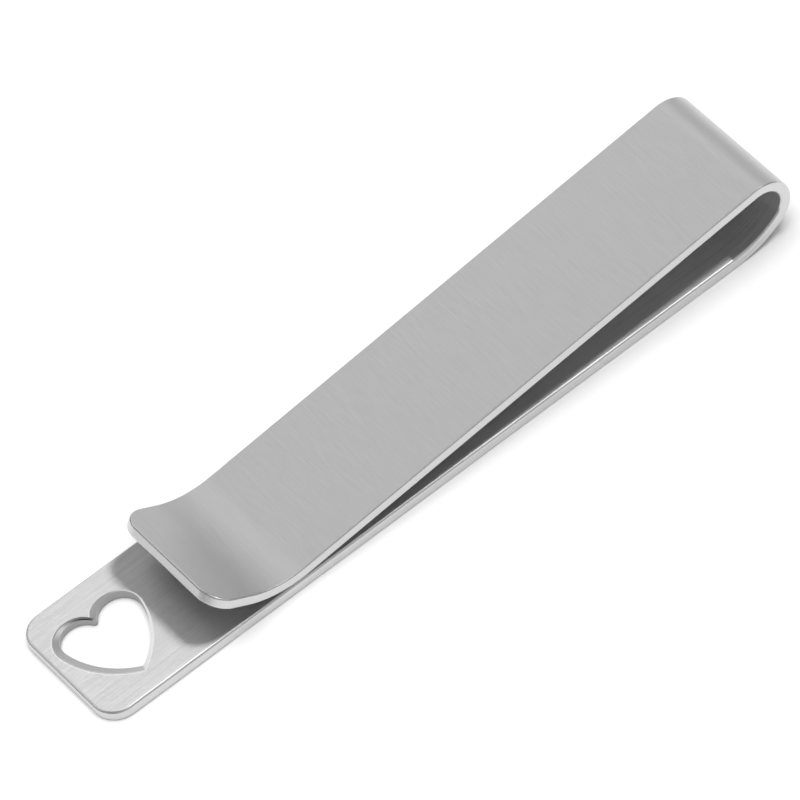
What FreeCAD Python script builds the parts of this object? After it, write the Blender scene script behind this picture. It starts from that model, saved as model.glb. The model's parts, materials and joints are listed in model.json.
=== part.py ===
"""Tie clip bent from one strip of brushed stainless spring steel, with a heart punched in its show bar.

Millimetres and degrees, +Z up. The clip lies on its show bar: the bar's show face is z = 0, the origin is
under the middle of the clip, the bow is at +X, and the lip and the heart are at -X. The strip is followed
from the bar, round the bow and back along the leg to the lip, and each formed length is one solid. The leg
springs open about the line on the outer skin where the bow's wide sweep passes into its tight crown.
"""
import FreeCAD
import Part
import math
import os

Vector = FreeCAD.Vector

# The strip
clip_length = 55.0
strip_width = 10.0
sheet = 0.8
edge_round = 0.12
inner_round = 0.2

# The bow, measured on its outer skin
crown_radius = 2.25
sweep_radius = 7.2
sweep_turn = 35.0

# The heel, which presses the tie on the bar, and the lip beyond it
heel_setback = 15.0
heel_radius = 6.4
pinch_gap = 0.06
lip_rise = 32.5
lip_flat = 1.2
lip_corner_radius = 1.7

# The bar's free end
bar_corner_radius = 1.7

# The heart, in the middle of the bar's width, with its lobes towards +Y and its point towards -Y
heart_setback = 4.15
heart_height = 5.9
heart_lobe_radius = 1.47
heart_side_radius = 6.0
heart_cleft_depth = 0.84
heart_cleft_radius = 0.22

# The bevel round the heart on the inner skin, struck a little off the hole, towards the bar's free end
heart_bevel_width = 0.38
heart_bevel_depth = 0.13
heart_bevel_drift_x = -0.24
heart_bevel_drift_y = -0.12

# How far a cutting tool stands clear of the face that it cuts, and the bevel's tool as a share of its depth
tool_margin = 1.0
bevel_overrun = 1.5


def polar(centre, radius, degrees):
    """Point at an angle from +X on a circle in the XY plane."""
    turn = math.radians(degrees)
    return centre + Vector(radius * math.cos(turn), radius * math.sin(turn), 0)


def bearing(start, end):
    """Angle from +X, in degrees, of the way from one point of the XY plane to another."""
    way = end - start
    return math.degrees(math.atan2(way.y, way.x))


def arc(centre, radius, first, last):
    """Edge that runs anticlockwise on a circle in the XY plane, from one angle to another."""
    span = (last - first) % 360.0
    points = [polar(centre, radius, first + span * share) for share in (0.0, 0.5, 1.0)]
    return Part.Arc(*points).toShape()


def line(start, end):
    return Part.LineSegment(start, end).toShape()


def face_of(edges):
    return Part.Face(Part.Wire(Part.__sortEdges__(edges)))


def round_rims(blank, picks):
    """Round the edges that a test picks: lightly on the outer skin, more on the inner one."""
    for skin, radius in ((0.0, edge_round), (sheet, inner_round)):
        rims = [edge for edge in blank.Edges if lies_at(edge, skin) and picks(edge.BoundBox)]
        blank = blank.makeFillet(radius, rims)
    return blank


def lies_at(edge, height):
    return abs(edge.BoundBox.ZMin - height) + abs(edge.BoundBox.ZMax - height) < edge_round / 2


def strip_section():
    """Cross-section of the strip at x = 0: its outer skin at z = 0, its inner skin at z = sheet."""
    blank = Part.makeBox(edge_round, strip_width, sheet, Vector(0, -strip_width / 2, 0))
    rounded = round_rims(blank, lambda box: box.XLength > edge_round / 2)
    return min(rounded.Faces, key=lambda face: face.CenterOfMass.x)


class Station:
    """A place on the strip's outer skin, with the way that the strip runs there, in degrees above +X."""

    def __init__(self, x, z, heading):
        self.point = Vector(x, 0, z)
        self.heading = heading

    def placement(self):
        return FreeCAD.Placement(self.point, FreeCAD.Rotation(Vector(0, 1, 0), -self.heading))

    def inward(self):
        """Unit vector from the outer skin towards the inside of the bow."""
        turn = math.radians(self.heading)
        return Vector(-math.sin(turn), 0, math.cos(turn))

    def along(self):
        turn = math.radians(self.heading)
        return Vector(math.cos(turn), 0, math.sin(turn))

    def ahead(self, length):
        end = self.point + self.along() * length
        return Station(end.x, end.z, self.heading)

    def round_bend(self, radius, turn):
        """Station after a bend of that radius on the outer skin; a negative turn bends away from the inside."""
        side = self.inward() * math.copysign(radius, turn)
        centre = self.point + side
        spin = FreeCAD.Rotation(Vector(0, 1, 0), -turn)
        end = centre + spin.multVec(-side)
        return Station(end.x, end.z, self.heading + turn)


def bend(start, radius, turn):
    """Solid of one bend of the strip."""
    section = strip_section()
    section.Placement = start.placement()
    centre = start.point + start.inward() * math.copysign(radius, turn)
    return section.revolve(centre, Vector(0, -math.copysign(1.0, turn), 0), abs(turn))


def straight(start, length):
    """Solid of a straight run of the strip."""
    section = strip_section()
    section.Placement = start.placement()
    return section.extrude(start.along() * length)


def free_end(start, length, corner):
    """Solid of a straight run that ends in a free edge with two rounded corners."""
    half = strip_width / 2
    inner = length - corner
    outline = [
        line(Vector(0, half, 0), Vector(0, -half, 0)),
        line(Vector(0, -half, 0), Vector(inner, -half, 0)),
        arc(Vector(inner, corner - half, 0), corner, -90, 0),
        line(Vector(length, corner - half, 0), Vector(length, half - corner, 0)),
        arc(Vector(inner, half - corner, 0), corner, 0, 90),
        line(Vector(inner, half, 0), Vector(0, half, 0)),
    ]
    blade = face_of(outline).extrude(Vector(0, 0, sheet))
    blade = round_rims(blade, lambda box: box.XMax > edge_round / 2)
    blade.Placement = start.placement()
    return blade


class Heart:
    """Outline of the punched heart: two lobes, two long side arcs to a point, and a rounded cleft."""

    def __init__(self):
        middle = Vector(heart_setback - clip_length / 2, heart_height / 2 - heart_lobe_radius, 0)
        reach = heart_lobe_radius + heart_cleft_radius
        above = reach - heart_cleft_depth
        half = Vector(math.sqrt(reach ** 2 - above ** 2), 0, 0)
        self.lobes = (middle + half, middle - half)
        self.cleft = middle + Vector(0, above, 0)
        self.tip = Vector(middle.x, -heart_height / 2, 0)
        self.sides = tuple(self.side_centre(lobe) for lobe in self.lobes)

    def side_centre(self, lobe):
        """Centre of the side arc that runs on smoothly from a lobe and ends at the tip."""
        near = heart_side_radius - heart_lobe_radius
        base = self.tip - lobe
        along = (near ** 2 - heart_side_radius ** 2 + base.Length ** 2) / (2 * base.Length)
        across = math.sqrt(near ** 2 - along ** 2)
        unit = base / base.Length
        normal = Vector(-unit.y, unit.x, 0)
        foot = lobe + unit * along
        choices = (foot + normal * across, foot - normal * across)
        return min(choices, key=lambda centre: (centre.x - self.tip.x) * (lobe.x - self.tip.x))

    def outline(self):
        """Face of the hole."""
        right, left = self.lobes
        right_side, left_side = self.sides
        edges = [
            arc(right_side, heart_side_radius, bearing(right_side, self.tip), bearing(right_side, right)),
            arc(right, heart_lobe_radius, bearing(right_side, right), bearing(right, self.cleft)),
            arc(self.cleft, heart_cleft_radius, bearing(self.cleft, left), bearing(self.cleft, right)),
            arc(left, heart_lobe_radius, bearing(left, self.cleft), bearing(left_side, left)),
            arc(left_side, heart_side_radius, bearing(left_side, left), bearing(left_side, self.tip)),
        ]
        return face_of(edges)

    def below_lobes(self):
        """Plan of the heart's lower part, where the side arcs hold instead of the lobes."""
        right, left = self.lobes
        far = clip_length
        corners = [
            right,
            polar(right, far, bearing(self.sides[0], right)),
            self.tip - Vector(-far, far, 0),
            self.tip - Vector(far, far, 0),
            polar(left, far, bearing(self.sides[1], left)),
            left,
        ]
        return face_of([line(*ends) for ends in zip(corners, corners[1:] + corners[:1])])

    def bevel_way(self):
        """Way that the bevel's outline moves, from the hole's edge to just over the inner skin."""
        return Vector(heart_bevel_drift_x, heart_bevel_drift_y, heart_bevel_depth) * bevel_overrun

    def bevel_disc(self, centre, radius):
        """Tool that bevels a round hole: a slanted cone that starts at the hole's edge."""
        start = centre + Vector(0, 0, sheet - heart_bevel_depth)
        rings = [
            Part.makeCircle(radius, start),
            Part.makeCircle(radius + heart_bevel_width * bevel_overrun, start + self.bevel_way()),
        ]
        return Part.makeLoft([Part.Wire(ring) for ring in rings], True, True)

    def punch(self):
        """Tool for the hole itself."""
        hole = self.outline()
        hole.translate(Vector(0, 0, -tool_margin))
        return hole.extrude(Vector(0, 0, sheet + 2 * tool_margin))

    def bevel(self):
        """Tool for the bevel on the inner skin."""
        lower = self.below_lobes()
        lower.translate(Vector(0, 0, sheet - heart_bevel_depth))
        lower = lower.extrude(self.bevel_way())
        for side in self.sides:
            lower = lower.common(self.bevel_disc(side, heart_side_radius))
        return lower.fuse([self.bevel_disc(lobe, heart_lobe_radius) for lobe in self.lobes])


def front_bar(start, length):
    """The show bar, which runs from the bow to its free end, with the heart punched through it."""
    blade = free_end(Station(0, 0, 0), length, bar_corner_radius)
    blade.rotate(Vector(0, 0, 0), Vector(0, 0, 1), 180)
    blade.translate(start.point)
    heart = Heart()
    punched = blade.cut(heart.punch())
    hole = heart.outline().BoundBox
    hole.enlarge(edge_round)
    show_rim = [edge for edge in punched.Edges if lies_at(edge, 0.0) and hole.isInside(edge.BoundBox)]
    return punched.makeFillet(edge_round, show_rim).cut(heart.bevel())


def leg_slope(crown, heel):
    """Slope of the leg, in degrees, so that it runs on smoothly from the crown and into the heel."""
    way = crown - heel
    return math.degrees(math.atan2(way.z, way.x) + math.asin((crown_radius + heel_radius) / way.Length))


def build():
    """Follow the strip from the bar to the lip and make each formed length."""
    turn = math.radians(sweep_turn)
    wider = sweep_radius - crown_radius
    bow_start = Station(clip_length / 2 - crown_radius - wider * math.sin(turn), 0, 0)
    crown_start = bow_start.round_bend(sweep_radius, sweep_turn)
    crown_centre = crown_start.point + crown_start.inward() * crown_radius
    heel_centre = Vector(heel_setback - clip_length / 2, 0, 2 * sheet + pinch_gap + heel_radius)
    slope = leg_slope(crown_centre, heel_centre)
    crown_turn = 180.0 + slope - sweep_turn
    leg_start = crown_start.round_bend(crown_radius, crown_turn)
    reach = (crown_centre - heel_centre).Length
    leg_length = math.sqrt(reach ** 2 - (crown_radius + heel_radius) ** 2)
    heel_start = leg_start.ahead(leg_length)
    heel_turn = -(slope + lip_rise)
    lip_start = heel_start.round_bend(heel_radius, heel_turn)
    lip_length = lip_flat + lip_corner_radius
    for name, place in (("bow", bow_start), ("crown", crown_start), ("leg", leg_start), ("heel", heel_start)):
        print(name, "starts at x %.3f z %.3f, heading %.3f" % (place.point.x, place.point.z, place.heading))
    return {
        "front_bar": front_bar(bow_start, bow_start.point.x + clip_length / 2),
        "sweep_bend": bend(bow_start, sweep_radius, sweep_turn),
        "crown_bend": bend(crown_start, crown_radius, crown_turn),
        "spring_leg": straight(leg_start, leg_length),
        "heel_bend": bend(heel_start, heel_radius, heel_turn),
        "lift_lip": free_end(lip_start, lip_length, lip_corner_radius),
    }


os.makedirs("parts", exist_ok=True)
for node, shape in build().items():
    box = shape.BoundBox
    print(node, "valid" if shape.isValid() else "NOT VALID", len(shape.Solids), "solid, %.3f mm3" % shape.Volume)
    print("   x %.3f to %.3f, z %.3f to %.3f" % (box.XMin, box.XMax, box.ZMin, box.ZMax))
    shape.exportStep(os.path.join("parts", node + ".step"))
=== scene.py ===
"""The looks of a slide-on tie clip bent from one strip of brushed spring steel.

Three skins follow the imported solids: the show bar with its punched heart, the bow that gives when
the leg is lifted, and the sprung leg with its heel and lift lip. Lengths are millimetres and angles
are degrees, and a point becomes metres only when a mesh, a lamp or the camera takes it. The strip is
followed from the bar's bow end, round the bow and back along the leg. Its outer skin is the bar's show
face and the leg's top, and its inner skin is the inside of the jaw.
"""
import json
import logging
import math
from dataclasses import dataclass
from enum import Enum
from typing import Any

import bpy
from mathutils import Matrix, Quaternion, Vector
from mathutils.geometry import normal as plane_normal
from mathutils.geometry import tessellate_polygon


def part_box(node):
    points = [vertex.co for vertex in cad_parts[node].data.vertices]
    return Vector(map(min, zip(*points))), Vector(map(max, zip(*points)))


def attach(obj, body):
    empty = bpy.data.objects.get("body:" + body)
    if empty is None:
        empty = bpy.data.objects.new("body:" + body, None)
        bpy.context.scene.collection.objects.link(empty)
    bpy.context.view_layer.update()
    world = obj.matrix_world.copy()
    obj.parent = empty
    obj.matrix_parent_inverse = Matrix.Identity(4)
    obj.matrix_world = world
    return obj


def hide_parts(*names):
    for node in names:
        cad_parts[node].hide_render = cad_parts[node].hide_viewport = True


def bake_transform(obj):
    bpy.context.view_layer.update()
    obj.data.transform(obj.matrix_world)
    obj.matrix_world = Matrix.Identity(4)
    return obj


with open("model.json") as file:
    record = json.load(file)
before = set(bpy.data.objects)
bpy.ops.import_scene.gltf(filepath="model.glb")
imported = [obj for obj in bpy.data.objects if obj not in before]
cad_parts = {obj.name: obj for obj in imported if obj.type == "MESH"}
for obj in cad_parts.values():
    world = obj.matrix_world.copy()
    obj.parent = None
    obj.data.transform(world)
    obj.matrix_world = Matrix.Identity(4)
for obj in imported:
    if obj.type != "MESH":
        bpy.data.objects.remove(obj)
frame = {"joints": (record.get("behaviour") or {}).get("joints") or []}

log = logging.getLogger("tie_clip")

METRES = 0.001
ACROSS = Vector((0.0, 1.0, 0.0))
STRIP_PLACE = "strip_place"
PUNCHED = "punched"
STREAK_SLANT = 0.618
NOISE_MIDDLE = 0.5
HALF_TURN = 180.0
QUARTER_TURN = math.pi / 2.0
KEY_WAY = (0.56, -0.06, 0.826)
KEY_SPREAD = 10.0
RIGHT_AND_LEFT = (1.0, -1.0)


class Body(Enum):
    """The two bodies that the spring joins."""

    BAR = "bar"
    LEG = "leg"


# Node trees


class Wire:
    """A shader value, so that node arithmetic reads as a Python expression."""

    def __init__(self, bench: "Bench", socket: bpy.types.NodeSocket) -> None:
        """Wraps one output socket of a node on a bench."""
        self.bench = bench
        self.socket = socket

    def maths(self, operation: str, *values: Any) -> "Wire":
        """Adds one Math node that works on the values."""
        return self.bench.node("ShaderNodeMath", {"operation": operation}, dict(enumerate(values)))

    def __add__(self, other: Any) -> "Wire":
        """This value plus another."""
        return self.maths("ADD", self, other)

    def __radd__(self, other: Any) -> "Wire":
        """Another value plus this one."""
        return self.maths("ADD", other, self)

    def __sub__(self, other: Any) -> "Wire":
        """This value less another."""
        return self.maths("SUBTRACT", self, other)

    def __rsub__(self, other: Any) -> "Wire":
        """Another value less this one."""
        return self.maths("SUBTRACT", other, self)

    def __mul__(self, other: Any) -> "Wire":
        """This value times another."""
        return self.maths("MULTIPLY", self, other)

    def __rmul__(self, other: Any) -> "Wire":
        """Another value times this one."""
        return self.maths("MULTIPLY", other, self)

    def __truediv__(self, other: Any) -> "Wire":
        """This value divided by another."""
        return self.maths("DIVIDE", self, other)

    def __rtruediv__(self, other: Any) -> "Wire":
        """Another value divided by this one."""
        return self.maths("DIVIDE", other, self)


class Bench:
    """A node tree, with one way to put a node in it and a few short forms of that way."""

    def __init__(self, tree: bpy.types.NodeTree) -> None:
        """Starts from an emptied tree."""
        self.tree = tree
        self.tree.nodes.clear()

    def node(self, kind: str, settings: dict[str, Any], sockets: dict[Any, Any], output: Any = 0) -> Wire:
        """Adds a node.

        Args:
            kind: The node's type.
            settings: Its properties, which are set first.
            sockets: Values or wires for its inputs, by name or by place.
            output: Which of its outputs is wanted, by name or by place.

        Returns:
            The wanted output, or the first input of a node that ends a tree and has no output.
        """
        made = self.tree.nodes.new(kind)
        for name, value in settings.items():
            setattr(made, name, value)
        for name, value in sockets.items():
            if isinstance(value, Wire):
                self.tree.links.new(value.socket, made.inputs[name])
            else:
                made.inputs[name].default_value = value
        if not made.outputs:
            return Wire(self, made.inputs[0])
        return Wire(self, made.outputs[output])

    def vector(self, operation: str, *values: Any) -> Wire:
        """Adds one Vector Math node that works on the values."""
        settings = {"operation": operation}
        return self.node("ShaderNodeVectorMath", settings, dict(enumerate(values)), "Vector")

    def fade(self, value: Wire, first: float, last: float) -> Wire:
        """Zero up to the first value, one from the last, and smooth between them."""
        limits = {"Value": value, "From Min": first, "From Max": last}
        return self.node("ShaderNodeMapRange", {"interpolation_type": "SMOOTHSTEP"}, limits)

    def parts(self, vector: Wire) -> tuple[Wire, Wire, Wire]:
        """The three parts of a vector."""
        split = self.node("ShaderNodeSeparateXYZ", {}, {0: vector})
        return tuple(Wire(self, socket) for socket in split.socket.node.outputs)

    def streaks(self, first: Wire, second: Wire, detail: float) -> Wire:
        """Adds noise about zero, slanted so that neighbouring streaks don't start and end in line.

        Args:
            first: Place across the streaks, counted in their pitch.
            second: Place along the streaks, counted in their length.
            detail: How many finer layers the noise has.

        Returns:
            The noise.
        """
        place = self.node("ShaderNodeCombineXYZ", {}, {"X": first, "Y": first * STREAK_SLANT + second})
        sockets = {"Vector": place, "Scale": 1.0, "Detail": detail}
        return self.node("ShaderNodeTexNoise", {"noise_dimensions": "2D"}, sockets) - NOISE_MIDDLE


# Finishes


@dataclass(frozen=True)
class Grain:
    """Brushing on one skin of the strip.

    The hairlines are too fine to see one by one and spread the gloss across the brushing. The scratches
    are the coarser lines that show.
    """

    tone: float
    roughness: float
    hairline_pitch: float
    hairline_length: float
    hairline_tilt: float
    scratch_pitch: float
    scratch_length: float
    scratch_tilt: float
    scratch_shade: float
    hairline_detail: float = 1.0
    scratch_detail: float = 3.0

    def brush(self, bench: Bench, across: Wire, along: Wire) -> tuple[Wire, Wire]:
        """Lays the brushing.

        Args:
            bench: The node tree.
            across: Place across the brushing, in millimetres.
            along: Place along the brushing, in millimetres.

        Returns:
            The surface's lean across the brushing, as a slope, and its tone.
        """
        hairline = (across / self.hairline_pitch, along / self.hairline_length)
        scratch = (across / self.scratch_pitch, along / self.scratch_length)
        hairlines = bench.streaks(*hairline, self.hairline_detail)
        scratches = bench.streaks(*scratch, self.scratch_detail)
        lean = hairlines * self.hairline_tilt + scratches * self.scratch_tilt
        return lean, (scratches * self.scratch_shade + 1.0) * self.tone


@dataclass(frozen=True)
class BrushedSteel:
    """Stainless strip: brushed along its length inside the jaw and across it outside.

    The cut edges are tumbled, and the heart's wall is duller than the other edges. The heart's bevel and
    wall are painted darker as painted shade, and the bevel's painted shade comes in with its lean.
    """

    name: str = "brushed_steel"
    # Painted shade: the inner skin is given a lower tone than the outer one, though both are the same
    # steel, to darken the shade inside the jaw and under the lip; the bar's own lamps make up its lit
    # face.
    inner: Grain = Grain(
        tone=0.46,
        roughness=0.6,
        hairline_pitch=0.002,
        hairline_length=6.0,
        hairline_tilt=3.2,
        scratch_pitch=0.14,
        scratch_length=10.0,
        scratch_tilt=0.07,
        scratch_shade=0.28,
    )
    outer: Grain = Grain(
        tone=0.63,
        roughness=0.36,
        hairline_pitch=0.0015,
        hairline_length=1.5,
        hairline_tilt=1.2,
        scratch_pitch=0.11,
        scratch_length=3.0,
        scratch_tilt=0.02,
        scratch_shade=0.10,
    )
    edge_tone: float = 0.63
    edge_roughness: float = 0.27
    # Painted shade: the heart's bevel and wall are painted darker than the other cut edges.
    punched_shade_tone: float = 0.37
    punched_roughness: float = 0.5
    bevel_starts: float = 0.03
    bevel_full: float = 0.09
    wall_starts: float = 0.6
    blotch_size: float = 4.0
    blotch_detail: float = 4.0
    blotch_shade: float = 0.06
    blotch_roughness: float = 0.06
    skin_starts: float = 0.975
    skin_full: float = 0.998

    def make(self) -> bpy.types.Material:
        """Builds the material, which reads each point's place on the flat strip.

        Returns:
            The steel.
        """
        material = bpy.data.materials.new(self.name)
        material.use_nodes = True
        bench = Bench(material.node_tree)
        place = bench.node("ShaderNodeAttribute", {"attribute_name": STRIP_PLACE}, {}, "Vector")
        along, across, depth = bench.parts(place)
        punched = bench.node("ShaderNodeAttribute", {"attribute_name": PUNCHED}, {}, "Fac")
        struck = bench.fade(punched, self.bevel_starts, self.bevel_full)
        inner = bench.fade(depth, self.skin_starts, self.skin_full) * (1.0 - struck)
        outer = bench.fade(1.0 - depth, self.skin_starts, self.skin_full)
        edge = 1.0 - inner - outer
        lean_across, inner_tone = self.inner.brush(bench, across, along)
        lean_along, outer_tone = self.outer.brush(bench, along, across)
        facing = bench.node("ShaderNodeNewGeometry", {}, {}, "Normal")
        run = bench.vector("CROSS_PRODUCT", tuple(ACROSS), facing)
        leaning = bench.vector("MULTIPLY_ADD", tuple(ACROSS), lean_across * inner, facing)
        leaning = bench.vector("MULTIPLY_ADD", run, lean_along * outer, leaning)
        leaning = bench.vector("NORMALIZE", leaning)
        blotches = bench.streaks(along / self.blotch_size, across / self.blotch_size, self.blotch_detail)
        wall = bench.fade(punched, self.wall_starts, 1.0)
        # Painted shade: where the heart is struck, the cut edges take the darker punched tone instead of
        # the edge tone.
        cut_tone_and_shade = struck * (self.punched_shade_tone - self.edge_tone) + self.edge_tone
        cut_roughness = wall * (self.punched_roughness - self.edge_roughness) + self.edge_roughness
        tone = inner * inner_tone + outer * outer_tone + edge * cut_tone_and_shade
        roughness = inner * self.inner.roughness + outer * self.outer.roughness + edge * cut_roughness
        surface = {
            "Base Color": tone * (blotches * self.blotch_shade + 1.0),
            "Metallic": 1.0,
            "Roughness": roughness + blotches * self.blotch_roughness,
            "Normal": leaning,
        }
        shader = bench.node("ShaderNodeBsdfPrincipled", {}, surface)
        bench.node("ShaderNodeOutputMaterial", {}, {"Surface": shader})
        return material


@dataclass(frozen=True)
class PaleFloor:
    """Matt white table paper, which keeps the clip's shadow."""

    name: str = "pale_floor"
    paper_tone: float = 0.8

    def make(self) -> bpy.types.Material:
        """Builds the material.

        Returns:
            The paper.
        """
        material = bpy.data.materials.new(self.name)
        material.use_nodes = True
        bench = Bench(material.node_tree)
        tone = (self.paper_tone, self.paper_tone, self.paper_tone, 1.0)
        paper = bench.node("ShaderNodeBsdfDiffuse", {}, {"Color": tone})
        bench.node("ShaderNodeOutputMaterial", {}, {"Surface": paper})
        return material


# The strip


def quarter(steps: int) -> list[float]:
    """Angles in radians of equal steps round a quarter turn."""
    return [QUARTER_TURN * step / steps for step in range(steps + 1)]


@dataclass(frozen=True)
class Place:
    """A place on the strip's outer skin, at the middle of its width."""

    point: Vector
    heading: float
    reach: float

    @property
    def along(self) -> Vector:
        """Unit vector the way that the strip runs."""
        turn = math.radians(self.heading)
        return Vector((math.cos(turn), 0.0, math.sin(turn)))

    @property
    def inward(self) -> Vector:
        """Unit vector from the outer skin to the inner one."""
        turn = math.radians(self.heading)
        return Vector((-math.sin(turn), 0.0, math.cos(turn)))

    def ahead(self, length: float) -> "Place":
        """The place after a straight run."""
        return Place(self.point + self.along * length, self.heading, self.reach + length)

    def round_bend(self, radius: float, turn: float) -> "Place":
        """The place after a bend of that radius on the outer skin.

        Args:
            radius: Radius of the outer skin.
            turn: Angle of the bend; a negative one bends away from the inside.

        Returns:
            The place where the bend ends.
        """
        side = self.inward * math.copysign(radius, turn)
        end = Place(self.point, self.heading + turn, 0.0)
        back = end.inward * math.copysign(radius, turn)
        return Place(self.point + side - back, end.heading, self.reach + radius * abs(math.radians(turn)))

    def at(self, ahead: float, across: float, depth: float) -> Vector:
        """A point beside this place, by its way along, across and into the strip."""
        return self.point + self.along * ahead + ACROSS * across + self.inward * depth


@dataclass(frozen=True)
class RimPoint:
    """A point of the strip's outline, with the way that the cut edge faces there."""

    place: Place
    ahead: float
    across: float
    face_ahead: float
    face_across: float

    def mirrored(self) -> "RimPoint":
        """The same point on the other long side."""
        return RimPoint(self.place, self.ahead, -self.across, self.face_ahead, -self.face_across)


@dataclass(frozen=True)
class EdgeStep:
    """One step over a cut edge: its inset and depth, and how it faces outwards and to the inner skin."""

    inset: float
    depth: float
    outward: float
    upward: float


@dataclass(frozen=True)
class Strip:
    """The strip's section, and the run of its outer skin from the bar to the lip."""

    width: float
    sheet: float
    bar_end: float
    bow_start: float
    hinge: Vector
    edge_round: float = 0.12
    inner_round: float = 0.2
    round_steps: int = 6
    crown_radius: float = 2.25
    heel_setback: float = 15.0
    heel_radius: float = 6.4
    pinch_gap: float = 0.06
    lip_rise: float = 32.5

    @classmethod
    def from_frame(cls) -> "Strip":
        """Reads the bar's box and the spring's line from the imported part.

        Returns:
            The strip at the part's own sizes.
        """
        low, high = (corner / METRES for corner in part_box("front_bar"))
        hinge = Vector(frame["joints"][0]["pos_m"]) / METRES
        return cls(high.y - low.y, high.z - low.z, low.x, high.x, hinge)

    def bar_place(self) -> Place:
        """Where the bar passes into the bow."""
        return Place(Vector((self.bow_start, 0.0, 0.0)), 0.0, self.bow_start - self.bar_end)

    def sweep(self) -> tuple[float, float]:
        """Works out the bow's wide bend, from where it starts to the spring's line.

        Returns:
            The bend's radius and its turn.
        """
        run = self.hinge.x - self.bow_start
        turn = 2.0 * math.atan2(self.hinge.z, run)
        return run / math.sin(turn), math.degrees(turn)

    def crown_place(self) -> Place:
        """Where the bow's wide bend passes into its tight one."""
        return self.bar_place().round_bend(*self.sweep())

    def leg_run(self) -> tuple[float, float]:
        """Works out the flat leg, which touches the crown and the heel's bend.

        Returns:
            The leg's slope and its length.
        """
        start = self.crown_place()
        crown = start.point + start.inward * self.crown_radius
        heel_height = 2.0 * self.sheet + self.pinch_gap + self.heel_radius
        heel = Vector((self.bar_end + self.heel_setback, 0.0, heel_height))
        way = crown - heel
        both = self.crown_radius + self.heel_radius
        slope = math.atan2(way.z, way.x) + math.asin(both / way.length)
        return math.degrees(slope), math.sqrt(way.length_squared - both ** 2)

    def crown_turn(self) -> float:
        """Turn of the bow's tight bend."""
        return HALF_TURN + self.leg_run()[0] - self.sweep()[1]

    def leg_place(self) -> Place:
        """Where the bow passes into the leg."""
        return self.crown_place().round_bend(self.crown_radius, self.crown_turn())

    def heel_turn(self) -> float:
        """Turn of the heel, away from the inside."""
        return -(self.leg_run()[0] + self.lip_rise)

    def edge_steps(self) -> list[EdgeStep]:
        """Rounds a cut edge, a little more on the inner skin than on the outer one.

        Returns:
            Steps from the inner skin to the outer one.
        """
        inner = [
            EdgeStep(
                self.inner_round * (1.0 - math.sin(turn)),
                self.sheet - self.inner_round * (1.0 - math.cos(turn)),
                math.sin(turn),
                math.cos(turn),
            )
            for turn in quarter(self.round_steps)
        ]
        outer = [
            EdgeStep(
                self.edge_round * (1.0 - math.cos(turn)),
                self.edge_round * (1.0 - math.sin(turn)),
                math.cos(turn),
                -math.sin(turn),
            )
            for turn in quarter(self.round_steps)
        ]
        return inner + outer


@dataclass(frozen=True)
class Row:
    """Points of a skin in order, with their shading normals."""

    points: list[int]
    normals: list[Vector]


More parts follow.
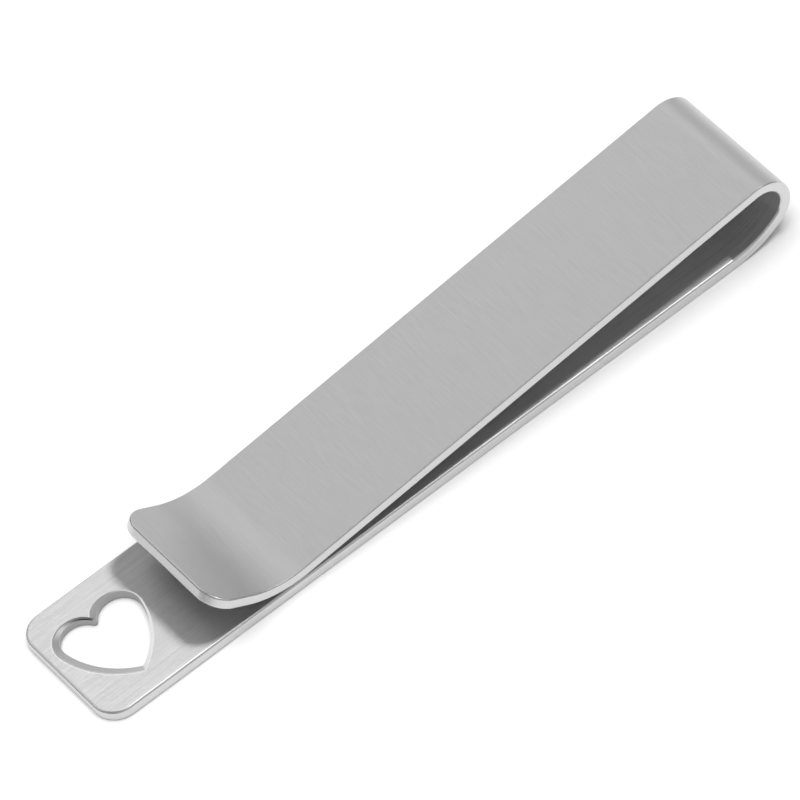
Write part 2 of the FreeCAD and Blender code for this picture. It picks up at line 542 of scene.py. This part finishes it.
class Skin:
    """A closed mesh in the making, with true normals and each point's place on the flat strip."""

    def __init__(self, strip: Strip) -> None:
        """Starts an empty skin.

        Args:
            strip: The strip that the skin is a length of.
        """
        self.strip = strip
        self.steps = strip.edge_steps()
        self.points: list[Vector] = []
        self.places: list[Vector] = []
        self.punched: list[float] = []
        self.faces: list[list[int]] = []
        self.normals: list[list[Vector]] = []

    def point(self, place: Place, ahead: float, across: float, depth: float, punched: float = 0.0) -> int:
        """Adds a point.

        Args:
            place: The place on the strip that it is measured from.
            ahead: How far it is along the strip.
            across: How far it is across the strip.
            depth: How far it is from the outer skin.
            punched: How far the surface there leans into the heart's hole, as a sine.

        Returns:
            The point's number.
        """
        self.points.append(place.at(ahead, across, depth) * METRES)
        self.places.append(Vector((place.reach + ahead, across, depth / self.strip.sheet)))
        self.punched.append(punched)
        return len(self.points) - 1

    def face(self, corners: list[int], normals: list[Vector]) -> None:
        """Adds a face, turned to agree with its normals.

        Args:
            corners: Numbers of its points, in order either way round.
            normals: The shading normal at each corner.
        """
        facing = plane_normal([self.points[corner] for corner in corners])
        agrees = facing.dot(sum(normals, Vector())) > 0.0
        order = 1 if agrees else -1
        self.faces.append(corners[::order])
        self.normals.append(normals[::order])

    def band(self, first: Row, second: Row) -> None:
        """Joins two rows of equally many points by a band of faces.

        Args:
            first: One row.
            second: The row beside it.
        """
        for one in range(len(first.points) - 1):
            pair = slice(one, one + 2)
            corners = first.points[pair] + second.points[pair][::-1]
            self.face(corners, first.normals[pair] + second.normals[pair][::-1])

    def column(self, rim: RimPoint) -> Row:
        """Adds the points over the cut edge at one point of the outline.

        Args:
            rim: The point of the outline.

        Returns:
            The points from the inner skin to the outer one.
        """
        place = rim.place
        points = []
        normals = []
        for step in self.steps:
            ahead = rim.ahead - rim.face_ahead * step.inset
            across = rim.across - rim.face_across * step.inset
            points.append(self.point(place, ahead, across, step.depth))
            outward = place.along * rim.face_ahead + ACROSS * rim.face_across
            normals.append(outward * step.outward + place.inward * step.upward)
        return Row(points, normals)

    def columns(self, rims: list[RimPoint]) -> tuple[list[Row], list[Row]]:
        """Adds the columns of the near side and of the far one."""
        return [self.column(rim) for rim in rims], [self.column(rim.mirrored()) for rim in rims]

    def edge(self, columns: list[Row]) -> None:
        """Runs the cut edge along the columns."""
        for first, second in zip(columns, columns[1:]):
            self.band(first, second)

    def skins(self, near: list[Row], far: list[Row]) -> None:
        """Closes both skins between two sides.

        Args:
            near: Columns of the near side.
            far: Columns of the far side.
        """
        for step in (0, -1):
            sides = [
                Row([column.points[step] for column in side], [column.normals[step] for column in side])
                for side in (near, far)
            ]
            self.band(*sides)

    def cap(self, near: Row, far: Row, facing: Vector) -> None:
        """Closes a section of the strip with one face."""
        corners = near.points + far.points[::-1]
        self.face(corners, [facing] * len(corners))

    def make(self, name: str, material: bpy.types.Material) -> bpy.types.Object:
        """Makes the object.

        Args:
            name: The piece's name.
            material: Its finish.

        Returns:
            The new object, in place.
        """
        mesh = bpy.data.meshes.new(name)
        mesh.from_pydata(self.points, [], self.faces)
        mesh.polygons.foreach_set("use_smooth", [True] * len(self.faces))
        places = mesh.attributes.new(STRIP_PLACE, "FLOAT_VECTOR", "POINT")
        places.data.foreach_set("vector", [number for place in self.places for number in place])
        punched = mesh.attributes.new(PUNCHED, "FLOAT", "POINT")
        punched.data.foreach_set("value", self.punched)
        mesh.normals_split_custom_set([normal for face in self.normals for normal in face])
        mesh.materials.append(material)
        piece = bpy.data.objects.new(name, mesh)
        bpy.context.scene.collection.objects.link(piece)
        return piece


def free_end(place: Place, half_width: float, tip: float, corner: float, steps: int) -> list[RimPoint]:
    """Near half of a free end's outline, round its corner.

    Args:
        place: Place that the end is measured from.
        half_width: Half of the strip's width.
        tip: How far ahead the end is, or how far back where it is negative.
        corner: Radius of the corner.
        steps: Faces round the corner.

    Returns:
        Points from the near side to the end.
    """
    sense = math.copysign(1.0, tip)
    points = []
    for turn in quarter(steps):
        ahead = tip - sense * corner * (1.0 - math.sin(turn))
        across = corner * (1.0 - math.cos(turn)) - half_width
        points.append(RimPoint(place, ahead, across, sense * math.sin(turn), -math.cos(turn)))
    return points


# The show bar


@dataclass(frozen=True)
class RimSpot:
    """A point of one half of the heart's rim: its place and depth, and how it faces the hole and up."""

    spot: Vector
    depth: float
    holeward: Vector
    upward: float


RimRows = list[list[RimSpot]]


@dataclass(frozen=True)
class HeartHole:
    """The punched heart: two lobes, two long sides to a point, a rounded cleft and a bevelled rim."""

    height: float = 5.9
    lobe_radius: float = 1.47
    side_radius: float = 6.0
    cleft_depth: float = 0.84
    cleft_radius: float = 0.22
    bevel_width: float = 0.38
    bevel_depth: float = 0.13
    bevel_drift: tuple[float, float] = (-0.24, -0.12)
    bevel_softness: float = 0.4
    crease_step: float = 0.03
    side_steps: int = 18
    lobe_steps: int = 26
    cleft_steps: int = 4
    bevel_steps: int = 10

    def lobe(self) -> Vector:
        """Works out the right lobe's centre.

        Returns:
            The centre, from the heart's axis and the middle of its height.
        """
        reach = self.lobe_radius + self.cleft_radius
        above = reach - self.cleft_depth
        return Vector((math.sqrt(reach ** 2 - above ** 2), self.height / 2.0 - self.lobe_radius))

    def cleft(self) -> Vector:
        """Centre of the cleft's rounding."""
        return Vector((0.0, self.height / 2.0 + self.cleft_radius - self.cleft_depth))

    def side(self) -> Vector:
        """Works out the right side's arc, which runs on from the lobe and ends at the tip.

        Returns:
            The arc's centre.
        """
        lobe = self.lobe()
        near = self.side_radius - self.lobe_radius
        base = Vector((0.0, -self.height / 2.0)) - lobe
        along = (near ** 2 - self.side_radius ** 2 + base.length_squared) / (2.0 * base.length)
        across = math.sqrt(near ** 2 - along ** 2)
        unit = base.normalized()
        foot = lobe + unit * along
        spread = Vector((-unit.y, unit.x)) * across
        return min((foot + spread, foot - spread), key=lambda centre: centre.x)

    def half_outline(self, offset: float) -> tuple[list[Vector], list[Vector]]:
        """Right half of the hole's outline, moved outwards, from the tip to the cleft.

        Args:
            offset: How far outwards.

        Returns:
            The points, and the unit vectors that lead away from the hole.
        """
        lobe, side, cleft = self.lobe(), self.side(), self.cleft()
        side_reach = self.side_radius + offset
        lobe_reach = self.lobe_radius + offset
        joint = bearing(side, lobe)
        tip = -math.acos(-side.x / side_reach)
        cleft_reach = self.cleft_radius - offset
        has_cleft = cleft_reach > 0.0
        lobe_steps = self.lobe_steps if has_cleft else self.lobe_steps + self.cleft_steps
        lobe_end = bearing(lobe, cleft) if has_cleft else math.acos(-lobe.x / lobe_reach)
        arcs = [
            (side, side_reach, tip, joint, self.side_steps, 1.0),
            (lobe, lobe_reach, joint, lobe_end, lobe_steps, 1.0),
        ]
        if has_cleft:
            arcs.append((cleft, cleft_reach, bearing(cleft, lobe), -QUARTER_TURN, self.cleft_steps, -1.0))
        points = []
        outward = []
        for number, (centre, reach, first, last, steps, sense) in enumerate(arcs):
            for step in range(0 if number == 0 else 1, steps + 1):
                turn = first + (last - first) * step / steps
                way = Vector((math.cos(turn), math.sin(turn)))
                points.append(centre + way * reach)
                outward.append(way * sense)
        return points, outward

    def bevel(self, strip: Strip, sense: float) -> RimRows:
        """Sinks one half's bevel, struck a little off the hole and deepest where it is widest.

        Args:
            strip: The strip that the heart is punched in.
            sense: One for the right half, minus one for the left.

        Returns:
            Rows from the inner skin down to the hole, each from the tip to the cleft.
        """
        drift = Vector((sense * self.bevel_drift[0], self.bevel_drift[1]))
        hole = self.half_outline(0.0)[0]
        brink = [spot + drift for spot in self.half_outline(self.bevel_width)[0]]
        widths = [(high - low).length for high, low in zip(brink, hole)]
        widest = self.bevel_width + drift.length
        drops = [self.bevel_depth * (width / widest) ** 2 for width in widths]
        rows = []
        for step in range(self.bevel_steps + 1):
            sunk = step / self.bevel_steps
            full = min(sunk / self.bevel_softness, 1.0)
            outline, away = self.half_outline(self.bevel_width * (1.0 - sunk))
            row = []
            for spot, way, width, drop in zip(outline, away, widths, drops):
                lean = math.atan2(drop, width) * full
                depth = strip.sheet - drop * sunk
                struck = spot + drift * (1.0 - sunk)
                row.append(RimSpot(struck, depth, way * -math.sin(lean), math.cos(lean)))
            rows.append(row)
        return rows

    def wall(self, strip: Strip, crease: list[RimSpot]) -> RimRows:
        """Drops one half's wall to the rounded edge of the outer skin.

        Args:
            strip: The strip that the heart is punched in.
            crease: The bevel's lowest row.

        Returns:
            Rows from the crease under the bevel to the outer skin.
        """
        away = self.half_outline(0.0)[1]
        rows = [
            [RimSpot(top.spot, top.depth - drop, -way, 0.0) for top, way in zip(crease, away)]
            for drop in (0.0, self.crease_step)
        ]
        for turn in quarter(strip.round_steps):
            outline, away = self.half_outline(strip.edge_round * (1.0 - math.cos(turn)))
            depth = strip.edge_round * (1.0 - math.sin(turn))
            facing = [way * -math.cos(turn) for way in away]
            upward = -math.sin(turn)
            rows.append([RimSpot(spot, depth, way, upward) for spot, way in zip(outline, facing)])
        return rows


def bearing(start: Vector, end: Vector) -> float:
    """Angle in radians of the way from one flat point to another."""
    way = end - start
    return math.atan2(way.y, way.x)


@dataclass(frozen=True)
class ShowBar:
    """The flat bar that shows on the tie, with rounded free corners and the punched heart."""

    strip: Strip
    heart: HeartHole
    corner_radius: float = 1.7
    corner_steps: int = 14
    heart_setback: float = 4.15
    heart_field: float = 9.0
    plain_steps: int = 8

    def outline(self) -> tuple[list[RimPoint], list[RimPoint]]:
        """Draws the near half of the bar's outline.

        Returns:
            Points along the plain length, from the bow to the heart's field, and points round the corner.
        """
        place = self.strip.bar_place()
        tip = self.strip.bar_end - self.strip.bow_start
        field = tip + self.heart_field
        half_width = self.strip.width / 2.0
        plain = [
            RimPoint(place, field * step / self.plain_steps, -half_width, 0.0, -1.0)
            for step in range(self.plain_steps + 1)
        ]
        return plain, free_end(place, half_width, tip, self.corner_radius, self.corner_steps)

    def heart_rows(self, skin: Skin, halves: list[RimRows], top: list[Row] | None) -> list[list[Row]]:
        """Adds rows of both halves of the heart's rim.

        Args:
            skin: The bar's skin.
            halves: Rows of the right half and of the left one.
            top: Rows whose points are used again for the first row, where the rim has a crease.

        Returns:
            For each row, the right half and the left one, both from the tip to the cleft.
        """
        place = self.strip.bar_place()
        axis = self.strip.bar_end + self.heart_setback - self.strip.bow_start
        rows = []
        for number, pair in enumerate(zip(*halves)):
            made = []
            for sense, spots in zip(RIGHT_AND_LEFT, pair):
                if number == 0 and top:
                    points = top[len(made)].points
                else:
                    # The left half shares the right one's tip and cleft.
                    points = []
                    for rim in spots[1:-1] if made else spots:
                        ahead = axis + sense * rim.spot.x
                        points.append(skin.point(place, ahead, rim.spot.y, rim.depth, rim.holeward.length))
                    if made:
                        points = made[0].points[:1] + points + made[0].points[-1:]
                normals = [Vector((sense * rim.holeward.x, rim.holeward.y, rim.upward)) for rim in spots]
                made.append(Row(points, normals))
            rows.append(made)
        return rows

    def punch(self, skin: Skin) -> tuple[list[Row], list[Row]]:
        """Adds the heart's bevel and wall.

        Args:
            skin: The bar's skin.

        Returns:
            The rim's right and left halves on the inner skin, and those on the outer skin.
        """
        bevels = [self.heart.bevel(self.strip, sense) for sense in RIGHT_AND_LEFT]
        walls = [self.heart.wall(self.strip, half[-1]) for half in bevels]
        bevel = self.heart_rows(skin, bevels, None)
        wall = self.heart_rows(skin, walls, bevel[-1])
        for rim in (bevel, wall):
            for first, second in zip(rim, rim[1:]):
                skin.band(first[0], second[0])
                skin.band(first[1], second[1])
        return bevel[0], wall[-1]

    def close_field(self, skin: Skin, around: list[int], rim: list[Row], facing: Vector) -> None:
        """Closes one skin between the bar's outline and the heart.

        Args:
            skin: The bar's skin.
            around: Points of the outline round the heart's field.
            rim: The heart's right and left halves on this skin.
            facing: The way that this skin faces.
        """
        right, left = rim
        hole = right.points + left.points[-2:0:-1]
        loops = [[skin.points[number] for number in loop] for loop in (around, hole)]
        numbers = around + hole
        for corners in tessellate_polygon(loops):
            skin.face([numbers[corner] for corner in corners], [facing] * len(corners))

    def build(self) -> Skin:
        """Builds the bar.

        Returns:
            The closed skin.
        """
        skin = Skin(self.strip)
        place = self.strip.bar_place()
        plain, end = self.outline()
        near, far = skin.columns(plain + end)
        skin.edge(near + far[::-1])
        skin.cap(near[0], far[0], place.along)
        skin.skins(near[:len(plain)], far[:len(plain)])
        inner_rim, outer_rim = self.punch(skin)
        around = near[len(plain) - 1:] + far[len(plain) - 1:][::-1]
        self.close_field(skin, [column.points[0] for column in around], inner_rim, place.inward)
        self.close_field(skin, [column.points[-1] for column in around], outer_rim, -place.inward)
        return skin

    def dress(self, material: bpy.types.Material) -> bpy.types.Object:
        """Makes the bar in its finish.

        Args:
            material: The finish.

        Returns:
            The new object, on the bar's body.
        """
        skin_of_bar = self.build().make("show_bar", material)
        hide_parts("front_bar")
        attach(skin_of_bar, Body.BAR.value)
        return skin_of_bar


# The bow


@dataclass(frozen=True)
class Bow:
    """The rounded end: a wide bend that leaves the bar and a tight one that turns into the leg."""

    strip: Strip
    sweep_steps: int = 24
    crown_steps: int = 64

    def stations(self) -> list[Place]:
        """Steps round both bends.

        Returns:
            Places from the bar to the leg.
        """
        strip = self.strip
        radius, turn = strip.sweep()
        start = strip.bar_place()
        crown = strip.crown_place()
        sweep = [
            start.round_bend(radius, turn * step / self.sweep_steps)
            for step in range(self.sweep_steps)
        ]
        tight = [
            crown.round_bend(strip.crown_radius, strip.crown_turn() * step / self.crown_steps)
            for step in range(self.crown_steps + 1)
        ]
        return sweep + tight

    def build(self) -> Skin:
        """Builds the bow.

        Returns:
            The closed skin.
        """
        skin = Skin(self.strip)
        stations = self.stations()
        rims = [RimPoint(place, 0.0, -self.strip.width / 2.0, 0.0, -1.0) for place in stations]
        near, far = skin.columns(rims)
        skin.edge(near)
        skin.edge(far)
        skin.skins(near, far)
        skin.cap(near[0], far[0], -stations[0].along)
        skin.cap(near[-1], far[-1], stations[-1].along)
        return skin

    def dress(self, material: bpy.types.Material) -> bpy.types.Object:
        """Makes the bow in its finish.

        Args:
            material: The finish.

        Returns:
            The new object, in place.
        """
        bow = self.build().make("bow", material)
        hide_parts("sweep_bend", "crown_bend")
        stations = self.stations()
        middle = stations[0].point.x
        end = Vector((middle, 0.0, stations[-1].at(0.0, 0.0, self.strip.sheet).z))
        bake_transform(bow)
        return bow


# The leg


@dataclass(frozen=True)
class SprungLeg:
    """The leg that presses on the bar, with its heel and its flared lift lip."""

    strip: Strip
    lip_length: float = 2.9
    lip_corner_radius: float = 1.7
    straight_steps: int = 8
    heel_steps: int = 28
    corner_steps: int = 14

    def stations(self) -> list[Place]:
        """Steps along the leg and round the heel.

        Returns:
            Places from the bow to the start of the lip.
        """
        strip = self.strip
        start = strip.leg_place()
        length = strip.leg_run()[1]
        flat = [start.ahead(length * step / self.straight_steps) for step in range(self.straight_steps)]
        heel = start.ahead(length)
        bend = [
            heel.round_bend(strip.heel_radius, strip.heel_turn() * step / self.heel_steps)
            for step in range(self.heel_steps + 1)
        ]
        return flat + bend

    def build(self) -> Skin:
        """Builds the leg.

        Returns:
            The closed skin.
        """
        skin = Skin(self.strip)
        stations = self.stations()
        half_width = self.strip.width / 2.0
        sides = [RimPoint(place, 0.0, -half_width, 0.0, -1.0) for place in stations]
        lip = stations[-1]
        end = free_end(lip, half_width, self.lip_length, self.lip_corner_radius, self.corner_steps)
        near, far = skin.columns(sides + end)
        skin.edge(near + far[::-1])
        skin.skins(near, far)
        skin.cap(near[0], far[0], -stations[0].along)
        return skin

    def dress(self, material: bpy.types.Material) -> bpy.types.Object:
        """Makes the leg in its finish.

        Args:
            material: The finish.

        Returns:
            The new object, on the leg's body.
        """
        leg = self.build().make("sprung_leg", material)
        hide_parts("spring_leg", "heel_bend", "lift_lip")
        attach(leg, Body.LEG.value)
        return leg


# The studio


@dataclass(frozen=True)
class Lamp:
    """A round lamp so far off that its light is even: the way towards it, its strength and its spread."""

    name: str
    way: tuple[float, float, float]
    strength: float
    spread: float

    def hang(self, lit: list[bpy.types.Object]) -> None:
        """Hangs the lamp.

        Args:
            lit: The objects that it lights, and no others.
        """
        data = bpy.data.lights.new(self.name, "SUN")
        data.energy = self.strength
        data.angle = math.radians(self.spread)
        lamp = bpy.data.objects.new(self.name, data)
        lamp.rotation_mode = "QUATERNION"
        lamp.rotation_quaternion = Vector(self.way).to_track_quat("Z", "Y")
        bpy.context.scene.collection.objects.link(lamp)
        receivers = bpy.data.collections.new(self.name)
        for receiver in lit:
            receivers.objects.link(receiver)
        lamp.light_linking.receiver_collection = receivers


@dataclass(frozen=True)
class Panel:
    """A soft patch of the room: the way to its middle, its level, and where it is full and faded."""

    way: tuple[float, float, float]
    level: float
    full: float
    faded: float

    def shine(self, bench: Bench, way: Wire) -> Wire:
        """Lights the panel.

        Args:
            bench: The room's node tree.
            way: The way from the clip out to the room.

        Returns:
            The panel's light from that way.
        """
        towards = {0: way, 1: tuple(Vector(self.way).normalized())}
        facing = bench.node("ShaderNodeVectorMath", {"operation": "DOT_PRODUCT"}, towards, "Value")
        first, last = (math.cos(math.radians(angle)) for angle in (self.faded, self.full))
        return bench.fade(facing, first, last) * self.level


@dataclass(frozen=True)
class Studio:
    """Floor, soft light and camera.

    The key lights the whole clip. The bar, which lies low between the leg and the floor, has lamps of its
    own, and so has the table. The panels are what the steel mirrors.
    """

    floor_half: float = 4000.0
    key: Lamp = Lamp("key", way=KEY_WAY, strength=0.4, spread=KEY_SPREAD)
    bar_lamps: tuple[Lamp, ...] = (
        Lamp("bar_key", way=KEY_WAY, strength=3.6, spread=KEY_SPREAD),
        Lamp("bar_back", way=(0.10, 0.70, 0.70), strength=0.28, spread=30.0),
        Lamp("bar_end", way=(-0.45, 0.57, 0.69), strength=0.3, spread=50.0),
    )
    table: Lamp = Lamp("table", way=(0.0, -0.05, 1.0), strength=2.9, spread=50.0)
    room_level: float = 0.04
    panels: tuple[Panel, ...] = (
        Panel(way=(0.22, 0.69, 0.69), level=1.0, full=4.0, faded=30.0),
        Panel(way=(0.15, -0.08, 1.0), level=0.6, full=4.0, faded=28.0),
        Panel(way=(0.70, 0.66, 0.29), level=0.54, full=10.0, faded=36.0),
        Panel(way=(-0.45, 0.60, 0.66), level=0.35, full=14.0, faded=40.0),
        Panel(way=(0.0, -0.85, 0.50), level=0.5, full=22.0, faded=50.0),
        Panel(way=(-0.80, -0.20, 0.55), level=0.45, full=10.0, faded=38.0),
        Panel(way=(0.85, -0.30, 0.45), level=0.35, full=10.0, faded=34.0),
    )
    aim: tuple[float, float, float] = (0.522, 1.376, 1.216)
    distance: float = 609.6
    azimuth: float = 25.594
    elevation: float = 50.878
    roll: float = 15.954
    lens: float = 439.8
    sensor: float = 36.0
    near_clip: float = 0.1
    far_clip: float = 20.0

    def lay_floor(self, material: bpy.types.Material) -> bpy.types.Object:
        """Lays the floor under the clip.

        Args:
            material: Its finish.

        Returns:
            The floor.
        """
        half = self.floor_half * METRES
        mesh = bpy.data.meshes.new("floor")
        corners = [(-half, -half, 0.0), (half, -half, 0.0), (half, half, 0.0), (-half, half, 0.0)]
        mesh.from_pydata(corners, [], [(0, 1, 2, 3)])
        mesh.materials.append(material)
        floor = bpy.data.objects.new("floor", mesh)
        bpy.context.scene.collection.objects.link(floor)
        return floor

    def light_room(self) -> None:
        """Makes the room: dim walls with soft panels round the clip."""
        world = bpy.data.worlds.new("room")
        world.use_nodes = True
        bpy.context.scene.world = world
        bench = Bench(world.node_tree)
        way = bench.node("ShaderNodeTexCoord", {}, {}, "Generated")
        level = sum((panel.shine(bench, way) for panel in self.panels), self.room_level)
        light = bench.node("ShaderNodeBackground", {}, {"Color": level})
        bench.node("ShaderNodeOutputWorld", {}, {"Surface": light})

    def place_camera(self) -> None:
        """Stands the camera where the clip is seen from."""
        data = bpy.data.cameras.new("camera")
        data.sensor_width = self.sensor
        data.lens = self.lens
        data.clip_start = self.distance * METRES * self.near_clip
        data.clip_end = self.distance * METRES * self.far_clip
        camera = bpy.data.objects.new("camera", data)
        turn = math.radians(self.azimuth)
        height = math.radians(self.elevation)
        level = math.cos(height)
        look = Vector((math.sin(turn) * level, math.cos(turn) * level, -math.sin(height)))
        camera.location = (Vector(self.aim) - look * self.distance) * METRES
        camera.rotation_mode = "QUATERNION"
        tilt = Quaternion((0.0, 0.0, 1.0), -math.radians(self.roll))
        camera.rotation_quaternion = look.to_track_quat("-Z", "Y") @ tilt
        bpy.context.scene.collection.objects.link(camera)
        bpy.context.scene.camera = camera

    def build(self, pieces: list[bpy.types.Object]) -> None:
        """Sets the whole studio round the clip.

        Args:
            pieces: The clip's pieces, with the bar first.
        """
        bpy.context.scene.view_settings.view_transform = "Standard"
        self.key.hang(pieces)
        for lamp in self.bar_lamps:
            lamp.hang(pieces[:1])
        self.table.hang([self.lay_floor(PaleFloor().make())])
        self.light_room()
        self.place_camera()


def main() -> None:
    """Builds the clip and its studio."""
    logging.basicConfig(level=logging.INFO)
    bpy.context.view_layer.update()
    strip = Strip.from_frame()
    steel = BrushedSteel().make()
    sections = (ShowBar(strip, HeartHole()), Bow(strip), SprungLeg(strip))
    pieces = [section.dress(steel) for section in sections]
    for piece in pieces:
        mesh = piece.data
        log.info("%s: %d points, %d faces", piece.name, len(mesh.vertices), len(mesh.polygons))
    Studio().build(pieces)


if __name__ == "__main__":
    main()
